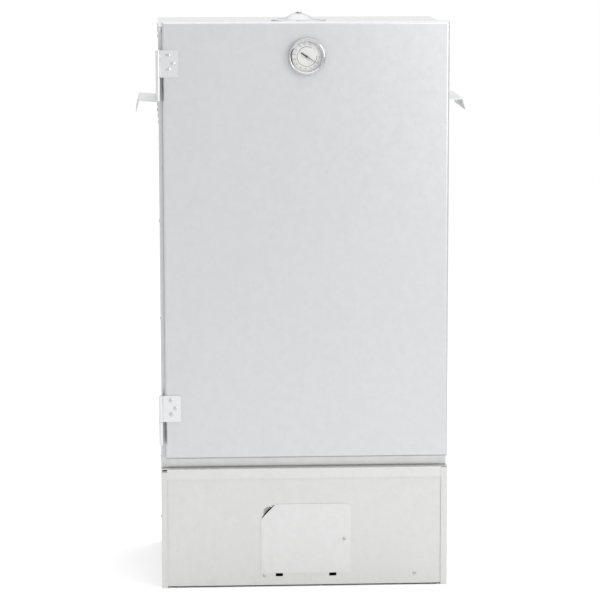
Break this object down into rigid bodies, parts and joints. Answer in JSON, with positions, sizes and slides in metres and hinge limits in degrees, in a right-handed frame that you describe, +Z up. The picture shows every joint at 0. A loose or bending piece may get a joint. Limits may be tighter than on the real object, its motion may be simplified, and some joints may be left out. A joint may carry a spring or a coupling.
{
  "type": "electric cabinet smoker",
  "caption": "Free-standing sheet-steel smoking cabinet on a heated base box, with a full-height hinged door, dial thermometer, rotary roof vent, side handles and a chip-tray hatch.",
  "frame": {"origin": "on the ground, under the middle of the whole object's box", "axes": "+X to the right seen from the front, +Y to the back, +Z up; the door faces -Y"},
  "size_m": [0.476, 0.3026, 0.8209],
  "materials": {
    "galvanised_sheet": "bright galvanised sheet with a faint spangle",
    "zinc_fittings": "zinc-plated bent and turned steel",
    "plated_steel": "bright plated steel wire and fasteners",
    "dark_steel": "heat-darkened steel",
    "element_sheath": "oxidised heater sheath",
    "moulded_plastic": "black heat-resistant moulding",
    "contact_brass": "plated brass blades",
    "lead_insulation": "silicone insulation",
    "thermostat_ceramic": "glazed ceramic",
    "magnet_ferrite": "sintered ferrite",
    "bezel_chrome": "polished chrome",
    "dial_face": "printed white face",
    "needle_black": "satin black",
    "lens_glass": "clear window glass"
  },
  "bodies": {
    "cabinet": {"base_side_left": "galvanised_sheet", "base_side_right": "galvanised_sheet", "base_back_panel": "galvanised_sheet", "base_front_panel": "galvanised_sheet", "base_top_frame": "galvanised_sheet", "base_floor": "galvanised_sheet", "tray_runners": "galvanised_sheet", "element_support": "galvanised_sheet", "terminal_box": "galvanised_sheet", "cabinet_side_left": "galvanised_sheet", "cabinet_side_right": "galvanised_sheet", "cabinet_back": "galvanised_sheet", "cabinet_roof": "galvanised_sheet", "cabinet_floor": "galvanised_sheet", "base_rivets": "zinc_fittings", "cabinet_rivets": "zinc_fittings", "handle_left": "zinc_fittings", "handle_right": "zinc_fittings", "rails_left": "zinc_fittings", "rails_right": "zinc_fittings", "bar_brackets": "zinc_fittings", "upper_hinge_cabinet_leaf": "zinc_fittings", "lower_hinge_cabinet_leaf": "zinc_fittings", "inlet_screws": "plated_steel", "frame_bolts": "plated_steel", "handle_rivets": "plated_steel", "vent_pivot": "plated_steel", "hinge_pins": "plated_steel", "cabinet_leaf_screws": "plated_steel", "heating_element": "element_sheath", "power_inlet": "moulded_plastic", "inlet_pins": "contact_brass", "element_leads": "lead_insulation", "safety_thermostat": "thermostat_ceramic", "door_magnets": "magnet_ferrite"},
    "door": {"door_panel": "galvanised_sheet", "upper_hinge_door_leaf": "zinc_fittings", "lower_hinge_door_leaf": "zinc_fittings", "door_leaf_screws": "plated_steel", "thermometer_case": "plated_steel", "thermometer_bezel": "bezel_chrome", "thermometer_dial": "dial_face", "thermometer_lens": "lens_glass", "thermometer_probe": "plated_steel", "thermometer_nut": "plated_steel"},
    "needle": {"thermometer_needle": "needle_black"},
    "vent": {"vent_disc": "galvanised_sheet"},
    "hatch": {"hatch_flap": "galvanised_sheet", "hatch_clip": "plated_steel", "hatch_rivet": "zinc_fittings"},
    "chip_tray": {"chip_tray": "dark_steel"},
    "drip_tray": {"drip_tray": "plated_steel"},
    "grate_lower": {"grate_lower": "plated_steel"},
    "grate_upper": {"grate_upper": "plated_steel"},
    "bar_front": {"hook_bar_front": "plated_steel"},
    "bar_rear": {"hook_bar_rear": "plated_steel"},
    "hook_1": {"hook_1": "plated_steel"},
    "hook_2": {"hook_2": "plated_steel"},
    "hook_3": {"hook_3": "plated_steel"},
    "hook_4": {"hook_4": "plated_steel"}
  },
  "joints": [
    {"name": "door_swing", "type": "hinge", "parent": "cabinet", "child": "door", "pos_m": [-0.2054, -0.14245, 0.49], "axis": [0, 0, -1], "range_deg": [0, 180]},
    {"name": "needle_turn", "type": "hinge", "parent": "door", "child": "needle", "pos_m": [0.0035, -0.14665, 0.765], "axis": [0, 1, 0], "range_deg": [-30, 250]},
    {"name": "vent_turn", "type": "hinge", "parent": "cabinet", "child": "vent", "pos_m": [0, 0.01025, 0.81], "axis": [0, 0, 1], "range_deg": [0, 45]},
    {"name": "hatch_fold", "type": "hinge", "parent": "cabinet", "child": "hatch", "pos_m": [0.0017, -0.13945, 0.02], "axis": [1, 0, 0], "range_deg": [0, 90]},
    {"name": "chip_tray_lift", "type": "slide", "parent": "cabinet", "child": "chip_tray", "axis": [0, 0, 1], "range_m": [0, 0.06]},
    {"name": "drip_tray_lift", "type": "slide", "parent": "cabinet", "child": "drip_tray", "axis": [0, 0, 1], "range_m": [0, 0.03]},
    {"name": "grate_lower_lift", "type": "slide", "parent": "cabinet", "child": "grate_lower", "axis": [0, 0, 1], "range_m": [0, 0.03]},
    {"name": "grate_upper_lift", "type": "slide", "parent": "cabinet", "child": "grate_upper", "axis": [0, 0, 1], "range_m": [0, 0.03]},
    {"name": "bar_front_lift", "type": "slide", "parent": "cabinet", "child": "bar_front", "axis": [0, 0, 1], "range_m": [0, 0.012]},
    {"name": "bar_rear_lift", "type": "slide", "parent": "cabinet", "child": "bar_rear", "axis": [0, 0, 1], "range_m": [0, 0.012]},
    {"name": "hook_1_swing", "type": "hinge", "parent": "bar_front", "child": "hook_1", "pos_m": [-0.095, -0.02725, 0.774], "axis": [1, 0, 0], "range_deg": [-35, 35]},
    {"name": "hook_2_swing", "type": "hinge", "parent": "bar_front", "child": "hook_2", "pos_m": [0.075, -0.02725, 0.774], "axis": [1, 0, 0], "range_deg": [-35, 35]},
    {"name": "hook_3_swing", "type": "hinge", "parent": "bar_rear", "child": "hook_3", "pos_m": [-0.055, 0.06275, 0.774], "axis": [1, 0, 0], "range_deg": [-35, 35]},
    {"name": "hook_4_swing", "type": "hinge", "parent": "bar_rear", "child": "hook_4", "pos_m": [0.115, 0.06275, 0.774], "axis": [1, 0, 0], "range_deg": [-35, 35]}
  ]
}
